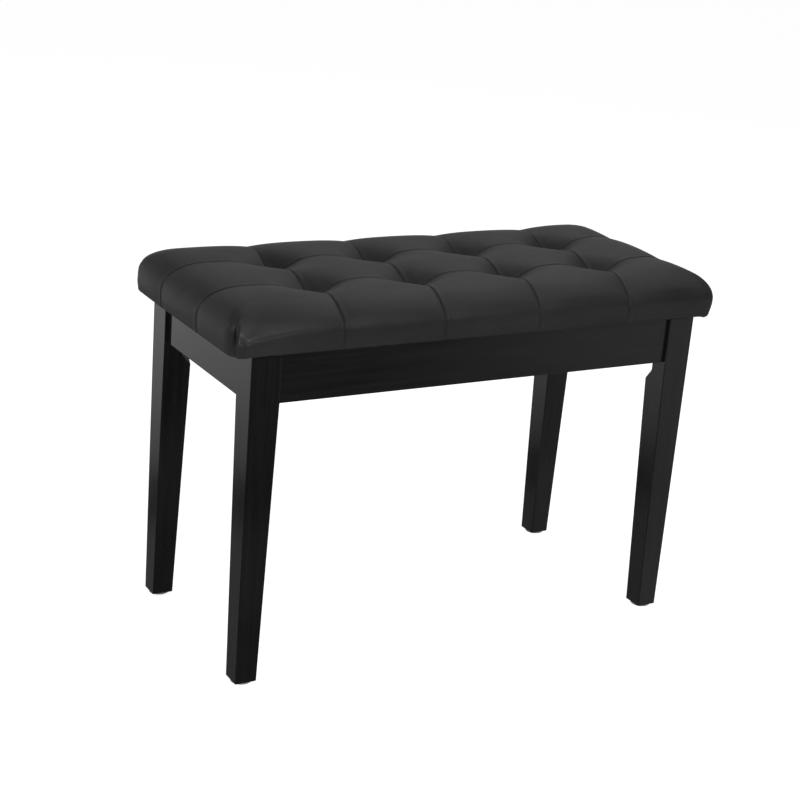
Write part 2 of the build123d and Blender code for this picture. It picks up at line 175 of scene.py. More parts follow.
def raw_wood(name, light, dark, grain, pitch=150.0):
    """Unfinished wood with open grain."""
    s = Shader(name, Specular_IOR_Level=0.3)
    scale = [pitch] * 3
    scale["xyz".index(grain)] = pitch / 25
    streaks = s.noise(scale, detail=7, roughness=0.65, distortion=1.2)
    cloud = s.noise((18, 18, 18))
    mixed = s.math("MULTIPLY", s.math("ADD", streaks, cloud), 0.5)
    s.colour(s.ramp(mixed, (0.35, dark), (0.65, light)))
    s.roughness(s.remap(streaks, 0.3, 0.7, 0.62, 0.82))
    s.bump(streaks, 0.00025)
    return s.done()


def hardboard():
    """Dark pressed fibre board."""
    s = Shader("hardboard", Specular_IOR_Level=0.35)
    fibres = s.noise((420, 420, 420), detail=6, roughness=0.7, distortion=2.0)
    s.colour(s.ramp(fibres, (0.3, (0.014, 0.0125, 0.0115)), (0.7, (0.032, 0.028, 0.025))))
    s.roughness(s.remap(fibres, 0.3, 0.7, 0.5, 0.7))
    s.bump(fibres, 0.00018)
    return s.done()


def lining_cloth():
    """Black spun-bonded cloth, with its grid of bonded dots."""
    s = Shader("lining_cloth", Specular_IOR_Level=0.2, Sheen_Weight=0.25)
    fibres = s.noise((900, 900, 900), detail=5, roughness=0.75)
    dots = s.cells((520, 520, 520), feature="F1")
    s.colour(s.ramp(fibres, (0.25, (0.008, 0.008, 0.0085)), (0.75, (0.026, 0.026, 0.027))))
    s.roughness(s.remap(fibres, 0.3, 0.7, 0.78, 0.95))
    s.bump(s.remap(dots, 0.1, 0.35, 0.0, 1.0), 0.00012)
    s.bump(fibres, 0.00014)
    return s.done()


def metal(name, colour, roughness, metallic=1.0, brush="x"):
    """Pressed or plated steel with fine brushed marks and dull patches."""
    s = Shader(name, Metallic=metallic)
    scale = [2600.0] * 3
    scale["xyz".index(brush)] = 90.0
    marks = s.noise(scale, detail=3)
    patches = s.noise((70, 70, 70), detail=4)
    darker = tuple(channel * 0.72 for channel in colour)
    s.colour(s.ramp(patches, (0.3, darker), (0.62, colour)))
    s.roughness(s.remap(marks, 0.3, 0.7, roughness - 0.07, roughness + 0.1))
    s.bump(marks, 0.000012)
    return s.done()


def rubber():
    s = Shader("rubber", Specular_IOR_Level=0.35)
    grain = s.noise((800, 800, 800), detail=3)
    s.colour(s.ramp(grain, (0.3, (0.02, 0.02, 0.02)), (0.7, (0.034, 0.034, 0.034))))
    s.roughness(s.remap(grain, 0.3, 0.7, 0.6, 0.75))
    s.bump(grain, 0.00006)
    return s.done()


def felt():
    s = Shader("felt", Specular_IOR_Level=0.15, Sheen_Weight=0.4, Sheen_Roughness=0.6)
    fibres = s.noise((700, 700, 700), detail=7, roughness=0.8, distortion=3.0)
    s.colour(s.ramp(fibres, (0.3, (0.16, 0.155, 0.15)), (0.7, (0.36, 0.35, 0.34))))
    s.roughness(s.remap(fibres, 0.3, 0.7, 0.88, 0.98))
    s.bump(fibres, 0.0004)
    return s.done()


def foam():
    s = Shader("foam", Specular_IOR_Level=0.2)
    pores = s.cells((600, 600, 600))
    # The colour is darker where the cells meet, where the bump is lowest: painted shade in the pores.
    s.colour(s.ramp(pores, (0.0, (0.50, 0.44, 0.30)), (0.3, (0.78, 0.72, 0.56))))
    s.roughness(s.remap(pores, 0.0, 0.3, 0.95, 0.85))
    s.bump(pores, 0.0006)
    return s.done()


LACQUER = {axis: lacquer(f"lacquer_grain_{axis}", axis) for axis in "xyz"}
LEATHER = leather()
PLYWOOD = raw_wood("plywood", (0.52, 0.38, 0.22), (0.36, 0.24, 0.13), "x")
BLOCK_WOOD = raw_wood("corner_block_wood", (0.50, 0.37, 0.22), (0.33, 0.22, 0.12), "z", pitch=110.0)
HARDBOARD = hardboard()
LINING = lining_cloth()
ZINC = metal("zinc_steel", (0.60, 0.60, 0.58), 0.32)
STAY_STEEL = metal("stay_steel", (0.50, 0.50, 0.49), 0.36, brush="y")
BLACK_STEEL = metal("black_steel", (0.018, 0.018, 0.018), 0.42, metallic=0.0)
STAPLE_STEEL = metal("staple_steel", (0.66, 0.66, 0.65), 0.28)
RUBBER = rubber()
FELT = felt()
FOAM = foam()

BY_SLOT = {
    "faux_leather": LEATHER, "foam": FOAM, "plywood": PLYWOOD, "hardboard": HARDBOARD,
    "corner_block_wood": BLOCK_WOOD, "dust_cover": LINING, "staple_steel": STAPLE_STEEL,
    "zinc_steel": ZINC, "stay_steel": STAY_STEEL, "black_steel": BLACK_STEEL,
    "bumper_rubber": RUBBER, "felt": FELT,
}


def lacquer_for(node):
    if node.startswith("leg_"):
        return LACQUER["z"]
    return LACQUER["x" if node in ("apron_front", "apron_rear") else "y"]


def finish_cad_nodes():
    """Every CAD node that stays in view gets the material of its slot."""
    slots = {part["node"]: part["material_slot"] for part in frame["record"]["subparts"]}
    for node, piece in frame["nodes"].items():
        slot = slots[node]
        material = lacquer_for(node) if slot == "lacquered_wood" else BY_SLOT[slot]
        piece.data.materials.clear()
        piece.data.materials.append(material)


# =====================================================================================
# Cushion: a top that is a grid, and a skirt that carries on from the grid's edge.
# Sizes are in millimetres. x runs along the bench, y to the back, z up.
# =====================================================================================
SHOULDER = 66.0                          # width of the sloping margin
SOFT_DROP, SOFT_POWER = 38.0, 2.25       # ends and back: height and squareness of the rounded side
EDGE_SLOPE, EDGE_R = 43.0, 8.0           # front: slope at the edge in degrees, and the edge's radius
EDGE_RIDGE, RIDGE_TURN = 2.0, 0.16       # front: height of the pinched ridge, and its width in radians
RIDGE_LEAST, RIDGE_FROM, RIDGE_RUN = 0.3, 130.0, 200.0   # the ridge is weak at mid length
EDGE_SINK, SINK_REACH = 10.0, 70.0       # how far a corner's fold lowers the front edge beside it
PLAN_R, GRID_R = 27.0, 12.0              # plan corner radius at the side, and where the grid ends
STILL_X, STILL_Y = 235.0, 66.0           # seams run straight out over the side up to here
TUCK_R, SIDE_LEAN = 7.0, 3.0             # radius of the lower edge, and how far the side leans in
TURN_UNDER = 26.5                        # leather turned in under the lid
PROUD = 10.0                             # panels' crown above the CAD block
# A tuft's depth and width, how steep its wall is, and how far it is drawn out along the seams.
TUFT_DEPTH, TUFT_REACH, TUFT_POWER, TUFT_STAR = 23.0, 34.0, 2.3, 0.12
# A seam's wide valley, and its sharp crease, which is deeper within TUFT_NEAR of a tuft.
SEAM_SAG, SEAM_REACH, SEAM_POWER = 2.4, 24.0, 1.4
CREASE, CREASE_AT_TUFT, CREASE_REACH, TUFT_NEAR = 0.5, 3.0, 5.0, 26.0
GROOVE, GROOVE_W = 0.8, 0.9              # the sewn groove along a seam: depth and half width
LIP, LIP_AT, LIP_W = 0.10, 2.2, 1.2      # the rolled lip on each side of it
FLAP, FLAP_FROM, FLAP_TO, FLAP_EDGE = 0.35, 1.4, 6.2, 4.0   # the allowance under one side of it
STITCH_FREE = 12.0                       # the groove fades out this near a tuft
BACK_FADE, BACK_FROM, BACK_RUN = 0.7, 75.0, 30.0   # and by this share towards the back
SHIFT_X = 9.0                            # the pattern is sewn this far off centre
SEAMS_X = [SHIFT_X + x for x in (-225.0, -75.0, 75.0, 225.0)]
SEAMS_Y = [-58.0, 58.0]
GRID_X, GRID_Y = HALF_L - SHOULDER, HALF_D - SHOULDER
HEIGHT = CROWN + PROUD - UNDERSIDE
# Where the padding stands fuller: x, y and rise, and how wide such a place is along x and y.
FULLER = ((300.0, 118.0, 4.5), (150.0, 118.0, 1.8), (0.0, 118.0, 1.0), (-150.0, 118.0, 1.2),
          (-300.0, 118.0, 1.0), (330.0, 20.0, 3.5), (335.0, -70.0, 2.0))
FULLER_X, FULLER_Y = 75.0, 60.0
# The front margin's seams lean to the left and draw together, less so beyond SLANT_TO.
SLANT, GATHER, SLANT_TO, SLANT_RUN = 11.0, 0.03, 325.0, 60.0
# How far each corner is pulled in by the wrapping, how far it hangs, and how deep its fold is.
CORNERS = {
    (-1, -1): (3.5, 1.0, 1.0),
    (1, -1): (0.5, 3.0, 0.1),
    (1, 1): (3.0, 0.5, 0.5),
    (-1, 1): (8.0, 0.5, 0.3),
}
# The pull grows over PULL_FALL below the crown. Only PULL_LEAST of it is left at the board,
# PULL_RUN lower than where it is whole.
PULL_REACH, PULL_FALL, PULL_LEAST, PULL_RUN = 55.0, 40.0, 0.3, 30.0
DIAGONAL = 0.7                           # a corner's pull along x and along y
# Leather hangs only outside the legs, from HANG_FROM along x, in the lowest HANG_HIGH.
HANG_REACH, HANG_FROM, HANG_RUN, HANG_HIGH = 45.0, 347.0, 8.0, 16.0
# Corner folds: place in the corner in degrees from the end, depth of the fold, rise of its flap.
PLEATS = ((44.0, 9.0, 3.6), (68.0, 1.2, 0.6))
PLEAT_TURN, PLEAT_RUN, PLEAT_SLIP = 0.7, 0.8, 10.0   # radians of turn it starts in, and its slant
PLEAT_STEEP, PLEAT_SOFT = 1.8, 6.5       # width of the crease on the flap's side and the other
PLEAT_LIFT, PLEAT_LENGTH = 1.5, 14.0     # how soon the flap rises, and how far it carries
PLEAT_LEAST, PLEAT_GAIN, PLEAT_LOW, PLEAT_HIGH = 1.0, 0.3, 3.0, 40.0   # deepest fold at a height
FOLD_BLEND, FOLD_OVERLAP = 10.0, 0.2     # width in degrees and lead of a folded corner's change
FOLD_FROM, FOLD_RUN = 0.8, 0.18          # share of the way out where a corner starts to be folded
DIP_LOW, DIP_RUN, STITCH_LOW = 2.0, 16.0, 2.0   # relief fades out towards the lower edge
FINE_ROWS, COARSE_ROWS = (27, 8, 5, 4), (12, 4, 2, 1)   # rows in margin, side, edge and turn-in
FINE_PITCH, WIDE_PITCH, PITCH_GROWTH = 0.5, 6.0, 0.13


def climb(value, start, run):
    """0 up to start, and from there a straight climb to 1 over run."""
    return np.clip((value - start) / run, 0, 1)


def hump(off, width):
    """1 at no offset, falling away smoothly over width."""
    return np.exp(-(off / width) ** 2)


def nearest(value, places):
    return np.min([abs(value - place) for place in places], axis=0)


def grid_lines(seams, end, fine, coarse, growth):
    """Grid positions from -end to end, close together at the seams and at the corners."""
    stations = [-end, *seams, end]
    lines = [-end]
    for low, high in zip(stations, stations[1:]):
        x = np.linspace(low, high, 4001)
        to_anchor = np.minimum(nearest(x, seams), end - abs(x))
        pitch = np.clip(fine + growth * to_anchor, fine, coarse)
        count = np.concatenate([[0], np.cumsum(0.5 * (1 / pitch[1:] + 1 / pitch[:-1]) * np.diff(x))])
        steps = max(1, round(count[-1]))
        lines += list(np.interp(np.arange(1, steps + 1) / steps * count[-1], count, x))
    return np.array(lines)


def rounded_plan(u, v):
    """Moves the grid's square corners onto the corner arc where the grid ends."""
    p = climb(abs(u), GRID_X - GRID_R, GRID_R)
    q = climb(abs(v), GRID_Y - GRID_R, GRID_R)
    x = np.where(p > 0, GRID_X - GRID_R + GRID_R * p * np.sqrt(1 - q * q / 2), abs(u))
    y = np.where(q > 0, GRID_Y - GRID_R + GRID_R * q * np.sqrt(1 - p * p / 2), abs(v))
    return np.sign(u) * x, np.sign(v) * y


def spread(value, still, inner, outer):
    """Keeps a place up to still, and beyond that stretches still..inner out to still..outer."""
    share = climb(abs(value), still, inner - still)
    return np.sign(value) * (abs(value) + (outer - inner) * share ** 2)


class Skirt:
    """The loop round the grid's edge, and where each of its columns reaches the side."""

    def __init__(self, columns, rows):
        n, m = len(columns), len(rows)
        self.places = ([(i, 0) for i in range(n - 1)]
                       + [(n - 1, j) for j in range(m - 1)]
                       + [(i, m - 1) for i in range(n - 1, 0, -1)]
                       + [(0, j) for j in range(m - 1, 0, -1)])
        u = np.array([columns[i] for i, j in self.places])
        v = np.array([rows[j] for i, j in self.places])
        self.start = np.stack(rounded_plan(u, v), axis=-1)
        centre = np.stack([np.sign(u) * (GRID_X - GRID_R), np.sign(v) * (GRID_Y - GRID_R)], axis=-1)
        at_end = abs(u) > GRID_X - 1e-6
        flat = np.stack([np.where(at_end, np.sign(u), 0.0), np.where(at_end, 0.0, np.sign(v))], axis=-1)
        corner = (abs(u) > GRID_X - GRID_R) & (abs(v) > GRID_Y - GRID_R)
        radial = self.start - centre
        radial /= np.linalg.norm(radial, axis=1)[:, None] + 1e-9
        self.normal = np.where(corner[:, None], radial, flat)
        far = np.array([HALF_L - PLAN_R, HALF_D - PLAN_R])
        side_x = np.where(at_end, np.sign(u) * HALF_L, spread(u, STILL_X, GRID_X - GRID_R, far[0]))
        side_y = np.where(at_end, spread(v, STILL_Y, GRID_Y - GRID_R, far[1]), np.sign(v) * HALF_D)
        arc = np.sign(centre) * far + self.normal * PLAN_R
        self.side = np.where(corner[:, None], arc, np.stack([side_x, side_y], axis=-1))
        # facing is 0 degrees on the ends and 90 on the front and back.
        self.facing = np.degrees(np.arctan2(abs(self.normal[:, 1]), abs(self.normal[:, 0])))
        self.corner = np.where(corner, self.facing, -1)
        self.fold = np.array([CORNERS[(-1 if a < 0 else 1, -1 if b < 0 else 1)][2]
                              for a, b in self.start])
        self.near_fold = hump(HALF_L - abs(self.side[:, 0]), SINK_REACH) * self.fold

    def front(self, out):
        """How far each column takes the crisp section, at a share of the way out.

        Higher up the two sections blend round the whole corner. Near the side of a folded
        corner they meet at the fold.
        """
        faces_front = self.normal[:, 1] < 0
        blended = np.where(faces_front, np.sin(np.radians(self.facing)) ** 2, 0.0)
        at_fold = np.clip((self.facing - PLEATS[0][0]) / FOLD_BLEND + FOLD_OVERLAP, 0, 1)
        folded = np.where(faces_front, at_fold, 0.0)
        return blended + (folded - blended) * self.fold * climb(out, FOLD_FROM, FOLD_RUN)


def soft_margin(rows):
    """Ends and back: (share of the way out, drop, turn of the normal) down to the vertical side."""
    for k in range(rows + 1):
        turn = math.pi / 2 * k / rows
        out = math.sin(turn) ** (2 / SOFT_POWER)
        yield out, SOFT_DROP * (1 - math.cos(turn) ** (2 / SOFT_POWER)), turn


def crisp_margin(rows):
    """Front: a long slope and then a tighter edge."""
    steep = math.radians(EDGE_SLOPE)
    run = SHOULDER - EDGE_R * (1 - math.sin(steep))
    bend = rows // 3
    for k in range(rows - bend + 1):
        share = k / (rows - bend)
        drop = run * math.tan(steep) * share ** 2 / 2
        yield share * run / SHOULDER, drop, math.atan(math.tan(steep) * share)
    for k in range(1, bend + 1):
        turn = steep + (math.pi / 2 - steep) * k / bend
        out = (run + EDGE_R * (math.sin(turn) - math.sin(steep))) / SHOULDER
        yield out, run * math.tan(steep) / 2 + EDGE_R * (math.cos(steep) - math.cos(turn)), turn


def profile(margin, rows_side, rows_tuck, rows_under):
    """The skirt's section: rows of (share of the way out, offset from the side, height, turn)."""
    rows = [(out, 0.0, HEIGHT - drop, turn) for out, drop, turn in margin]
    band_top = rows[-1][2]
    for k in range(1, rows_side + 1):
        share = k / rows_side
        rows.append((1.0, -SIDE_LEAN * share ** 2, band_top + (TUCK_R - band_top) * share, math.pi / 2))
    for k in range(1, rows_tuck + 1):
        turn = math.pi / 2 * k / rows_tuck
        rows.append((1.0, -SIDE_LEAN - TUCK_R * (1 - math.cos(turn)), TUCK_R * (1 - math.sin(turn)),
                     math.pi / 2 + turn))
    for k in range(1, rows_under + 1):
        rows.append((1.0, -SIDE_LEAN - TUCK_R - TURN_UNDER * k / rows_under, 0.0, math.pi))
    return np.array(rows)


def sections(rows_margin, *rows):
    """The soft and the crisp section, row for row."""
    return profile(soft_margin(rows_margin), *rows), profile(crisp_margin(rows_margin), *rows)


def padded_relief(x, y):
    """How far the padded surface lies below its crown, from the tufts and the sewn seams."""
    to_x, to_y = nearest(x, SEAMS_X), nearest(y, SEAMS_Y)
    reach = np.hypot(to_x, to_y) + 1e-6
    star = 1 + TUFT_STAR * (2 * to_x * to_y / reach ** 2)
    tuft = np.exp(-(reach * star / TUFT_REACH) ** TUFT_POWER)
    near = np.exp(-reach / TUFT_NEAR)
    creases = []
    for off in (to_x, to_y):
        wide = SEAM_SAG * np.exp(-(off / SEAM_REACH) ** SEAM_POWER)
        sharp = (CREASE + CREASE_AT_TUFT * near) * np.exp(-np.sqrt(off ** 2 + 2) / CREASE_REACH)
        creases.append(wide + sharp)
    valley = (creases[0] ** 3 + creases[1] ** 3) ** (1 / 3)
    fuller = sum(rise * np.exp(-((x - at_x) / FULLER_X) ** 2 - ((y - at_y) / FULLER_Y) ** 2)
                 for at_x, at_y, rise in FULLER)
    return TUFT_DEPTH * tuft + (valley - fuller) * (1 - tuft)


def seam_relief(x, y):
    """Fine relief of the sewn seams: a groove, its rolled lips, and the allowance beside it."""
    total = np.zeros_like(x)
    centre = np.hypot(nearest(x, SEAMS_X), nearest(y, SEAMS_Y))
    for value, seams in ((x, SEAMS_X), (y, SEAMS_Y)):
        closest = np.argmin([abs(value - seam) for seam in seams], axis=0)
        off = value - np.array(seams)[closest]
        groove = GROOVE * hump(off, GROOVE_W)
        lips = -LIP * hump(abs(off) - LIP_AT, LIP_W)
        allowance = (-FLAP / (1 + np.exp(-(off - FLAP_FROM) * FLAP_EDGE))
                     / (1 + np.exp((off - FLAP_TO) * FLAP_EDGE)))
        total += (groove + lips + allowance) * (1 - hump(centre, STITCH_FREE))
    return total * (1 - BACK_FADE * climb(y, BACK_FROM, BACK_RUN))


def pleat_relief(skirt, turn, up):
    """Overlapped folds in the corners: a deep crease with a raised flap on the long side's part."""
    fade = climb(turn, PLEAT_TURN, PLEAT_RUN) ** 1.5
    total = np.zeros(len(skirt.places))
    for place, depth, rise in PLEATS:
        off = (skirt.corner - place - PLEAT_SLIP * (fade - 1)) * math.radians(1) * PLAN_R
        crease = depth * hump(off, np.where(off > 0, PLEAT_STEEP, PLEAT_SOFT))
        flap = rise * (1 - np.exp(-off / PLEAT_LIFT)) * np.exp(-off / PLEAT_LENGTH)
        total += np.where(skirt.corner >= 0, np.where(off > 0, flap, 0.0) - crease, 0.0)
    deepest = -PLEAT_LEAST - PLEAT_GAIN * np.clip(up - PLEAT_LOW, 0, PLEAT_HIGH)
    return skirt.fold * np.maximum(total * fade, deepest)


def wrapped(points):
    """Leans the front seams, draws the corners in, and lets the leather hang a little below them."""
    x, y, z = points.T
    low = climb(CROWN + PROUD - z, 0, PULL_FALL)
    front = climb(SEAMS_Y[0] - y, 0, HALF_D + SEAMS_Y[0]) * climb(SLANT_TO - abs(x), 0, SLANT_RUN)
    points[:, 0] -= front * (SLANT + GATHER * x)
    for (side_x, side_y), (pull, hang, _) in CORNERS.items():
        away = np.hypot(np.maximum(HALF_L - side_x * x, 0), np.maximum(HALF_D - side_y * y, 0))
        at_board = PULL_LEAST + (1 - PULL_LEAST) * climb(z, UNDERSIDE, PULL_RUN)
        weight = hump(away, PULL_REACH) * low * at_board
        points[:, 0] -= side_x * DIAGONAL * pull * weight
        points[:, 1] -= side_y * DIAGONAL * pull * weight
        over = climb(abs(x), HANG_FROM, HANG_RUN) * climb(UNDERSIDE + HANG_HIGH - z, 0, HANG_HIGH)
        points[:, 2] -= hang * hump(away, HANG_REACH) * over
    return points


def skirt_ring(skirt, soft_row, crisp_row, fine):
    """One loop of the skirt's vertices, blended between the soft and the crisp section."""
    front = skirt.front(soft_row[0])
    share, offset, up, turn = soft_row[:, None] + (crisp_row - soft_row)[:, None] * front
    plan = skirt.start + (skirt.side - skirt.start) * share[:, None] + skirt.normal * offset[:, None]
    dip = padded_relief(plan[:, 0], plan[:, 1]) * climb(up, DIP_LOW, DIP_RUN)
    if fine:
        dip = dip + seam_relief(plan[:, 0], plan[:, 1]) * climb(up, 0, STITCH_LOW)
        dip = dip - pleat_relief(skirt, turn, up)
    tilt = np.minimum(turn, math.pi / 2)
    plan = plan - skirt.normal * (np.sin(tilt) * dip)[:, None]
    level = UNDERSIDE + up - np.cos(tilt) * dip
    ridge = hump(turn - math.radians(EDGE_SLOPE), RIDGE_TURN)
    along = RIDGE_LEAST + (1 - RIDGE_LEAST) * climb(abs(skirt.side[:, 0]), RIDGE_FROM, RIDGE_RUN)
    level = level + EDGE_RIDGE * ridge * front * along
    level = level - EDGE_SINK * skirt.near_fold * front * np.sin(math.pi * climb(up, 0, HEIGHT))
    return np.concatenate([plan, level[:, None]], axis=1)


def surface(columns, rows, soft, crisp, fine):
    """Vertices in mm and faces of the whole cover. fine adds the seams' and pleats' relief."""
    u, v = np.meshgrid(columns, rows, indexing="ij")
    x, y = rounded_plan(u, v)
    relief = padded_relief(x, y) + (seam_relief(x, y) if fine else 0)
    top = np.stack([x, y, CROWN + PROUD - relief], axis=-1)
    skirt = Skirt(columns, rows)
    m, count = len(rows), len(skirt.places)
    points = [top.reshape(-1, 3)]
    rings = [[i * m + j for i, j in skirt.places]]
    for soft_row, crisp_row in zip(soft[1:], crisp[1:]):
        first = sum(map(len, points))
        rings.append(list(range(first, first + count)))
        points.append(skirt_ring(skirt, soft_row, crisp_row, fine))
    faces = []
    for i in range(len(columns) - 1):
        for j in range(m - 1):
            a = i * m + j
            faces.append((a, a + m, a + m + 1, a + 1))
    for upper, lower in zip(rings, rings[1:]):
        for k in range(count):
            after = (k + 1) % count
            faces.append((upper[k], lower[k], lower[after], upper[after]))
    return np.concatenate(points), faces


def make_object(name, points, faces, material, smooth=True):
    mesh = bpy.data.meshes.new(name)
    mesh.from_pydata([tuple(point) for point in np.array(points) * MM], [], [tuple(f) for f in faces])
    mesh.update()
    if smooth:
        mesh.shade_smooth()
    mesh.materials.append(material)
    piece = bpy.data.objects.new(name, mesh)
    bpy.context.scene.collection.objects.link(piece)
    return piece


SIM_PITCH, SIM_FRAMES, SIM_CAP = 7.5, 16, 4.0
PIN_TUFT, PIN_SEAM, PIN_LOW, SEAM_HOLD = 9.0, 2.0, 9.0, 0.85   # what holds the cloth, and how firmly
NEIGHBOURS = 6                           # coarse points that carry a fine one


def simulated_shift(material):
    """Inflates a coarse copy of the cover as cloth. Returns its rest points and their moves in mm."""
    columns = grid_lines(SEAMS_X, GRID_X, SIM_PITCH, SIM_PITCH, 0)
    rows = grid_lines(SEAMS_Y, GRID_Y, SIM_PITCH, SIM_PITCH, 0)
    points, faces = surface(columns, rows, *sections(*COARSE_ROWS), fine=False)
    copy = make_object("cover_simulation", points, faces, material)
    x, y, z = points.T
    in_tuft = np.hypot(nearest(x, SEAMS_X), nearest(y, SEAMS_Y)) < PIN_TUFT
    on_seam = np.minimum(nearest(x, SEAMS_X), nearest(y, SEAMS_Y)) < PIN_SEAM
    low = z < UNDERSIDE + PIN_LOW
    pins = copy.vertex_groups.new(name="pins")
    for chosen, weight in ((on_seam, SEAM_HOLD), (in_tuft | low, 1.0)):
        pins.add([int(k) for k in np.flatnonzero(chosen)], weight, "REPLACE")
    cloth = copy.modifiers.new("Cloth", "CLOTH")
    settings = cloth.settings
    settings.quality, settings.mass = 6, 0.4
    settings.tension_stiffness = settings.compression_stiffness = 25
    settings.shear_stiffness, settings.bending_stiffness = 12, 1.5
    settings.vertex_group_mass, settings.pin_stiffness = "pins", 2
    settings.use_pressure, settings.uniform_pressure_force = True, 50
    settings.effector_weights.gravity = 0
    cloth.point_cache.frame_end = SIM_FRAMES
    scene = bpy.context.scene
    for step in range(1, SIM_FRAMES + 1):
        scene.frame_set(step)
    shown = copy.evaluated_get(bpy.context.evaluated_depsgraph_get())
    moved = np.empty(len(points) * 3)
    shown.data.vertices.foreach_get("co", moved)
    scene.frame_set(1)
    bpy.data.objects.remove(copy)
    shift = moved.reshape(-1, 3) / MM - points
    length = np.linalg.norm(shift, axis=1)
    print("cloth moved, mm: mean", length.mean().round(2), "most", length.max().round(2))
    limit = SIM_CAP * np.tanh(length / SIM_CAP) / np.maximum(length, 1e-6)
    return points, shift * limit[:, None]


def carried(points, source, shift, reach):
    """The shift of nearby source points, blended at each point."""
    tree = KDTree(len(source))
    for k, place in enumerate(source):
        tree.insert(place, k)
    tree.balance()
    result = np.zeros_like(points)
    for k, point in enumerate(points):
        found = tree.find_n(point, NEIGHBOURS)
        weights = np.array([math.exp(-(distance / reach) ** 2) for _, _, distance in found]) + 1e-9
        result[k] = weights @ shift[[index for _, index, _ in found]] / weights.sum()
    return result


def build_cushion():
    columns = grid_lines(SEAMS_X, GRID_X, FINE_PITCH, WIDE_PITCH, PITCH_GROWTH)
    rows = grid_lines(SEAMS_Y, GRID_Y, FINE_PITCH, WIDE_PITCH, PITCH_GROWTH)
    points, faces = surface(columns, rows, *sections(*FINE_ROWS), fine=True)
    points = points + carried(points, *simulated_shift(LEATHER), SIM_PITCH)
    cushion = make_object("tufted_leather_cover", wrapped(points), faces, LEATHER)
    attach(cushion, "lid")
    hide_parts("leather_cover", "cushion_foam")


# =====================================================================================
# Lining: a cloth stretched over the lid's underside, slack enough to ripple away from its edges
# =====================================================================================
LINING_T, LINING_SLACK, LINING_PITCH = 0.5, 1.6, 5.0
LINING_RISE = 0.15                       # its taut edge above the CAD cloth's lower face
TAUT_EDGE, TAUT_RUN = 14.0, 50.0         # it is taut this near its edge, and slack this much farther in


def build_lining():
    ends = [np.arange(low, high + 1, (high - low) / round((high - low) / LINING_PITCH))
            for low, high in zip(LINING_LOW[:2], LINING_HIGH[:2])]
    x, y = np.meshgrid(*ends, indexing="ij")
    n, m = x.shape
    inset = np.minimum(LINING_HIGH[0] - abs(x), LINING_HIGH[1] - abs(y))
    slack = climb(inset, TAUT_EDGE, TAUT_RUN) ** 1.5
    ripple = np.sin(x / 31 + 1.3 * np.sin(y / 47)) * np.cos(y / 39 + 0.8 * np.sin(x / 83))
    level = LINING_LOW[2] + LINING_RISE - LINING_SLACK * slack * (0.5 + 0.5 * ripple)
    layers = [np.stack([x, y, z], axis=-1).reshape(-1, 3) for z in (level, level + LINING_T)]
    upper = n * m
    faces = []
    for i in range(n - 1):
        for j in range(m - 1):
            a = i * m + j
            b = upper + a
            faces += [(a, a + 1, a + m + 1, a + m), (b, b + m, b + m + 1, b + 1)]
    loop = ([i * m for i in range(n - 1)] + [(n - 1) * m + j for j in range(m - 1)]
            + [i * m + m - 1 for i in range(n - 1, 0, -1)] + list(range(m - 1, 0, -1)))
    for a, b in zip(loop, loop[1:] + loop[:1]):
        faces.append((a, b, upper + b, upper + a))
    lining = make_object("lid_lining", np.concatenate(layers), faces, LINING)
    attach(lining, "lid")
    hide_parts("dust_cover")


# =====================================================================================
# Stage, lights and camera
# =====================================================================================
def aimed(direction, right):
    """A rotation that looks along direction with the given level direction to the right."""
    forward = Vector(direction).normalized()
    side = Vector(right).normalized()
    up = side.cross(forward)
    return Matrix((side, up, -forward)).transposed().to_4x4()


LENS_MM, SENSOR_MM = 75.83, 36.0
EYE_PLACE = (-1.1853, -1.9081, 1.0675)
EYE_ANGLES = (31.116, 18.805, 4.694)     # degrees: turned to the right, tipped down, and rolled


def camera():
    data = bpy.data.cameras.new("camera")
    data.lens, data.sensor_width = LENS_MM, SENSOR_MM
    data.clip_start, data.clip_end = 0.05, 50.0
    yaw, down, roll = [math.radians(angle) for angle in EYE_ANGLES]
    forward = Vector((math.sin(yaw) * math.cos(down), math.cos(yaw) * math.cos(down), -math.sin(down)))
    level = Vector((math.cos(yaw), -math.sin(yaw), 0))
    side = math.cos(roll) * level + math.sin(roll) * level.cross(forward)
    eye = bpy.data.objects.new("camera", data)
    eye.matrix_world = Matrix.Translation(EYE_PLACE) @ aimed(forward, side)
    bpy.context.scene.collection.objects.link(eye)
    bpy.context.scene.camera = eye


def softbox(name, place, target, size, power):
    data = bpy.data.lights.new(name, "AREA")
    data.shape, data.size, data.size_y, data.energy = "RECTANGLE", size[0], size[1], power
    lamp = bpy.data.objects.new(name, data)
    lamp.location = place
    lamp.rotation_euler = (Vector(target) - Vector(place)).to_track_quat("-Z", "Y").to_euler()
    bpy.context.scene.collection.objects.link(lamp)


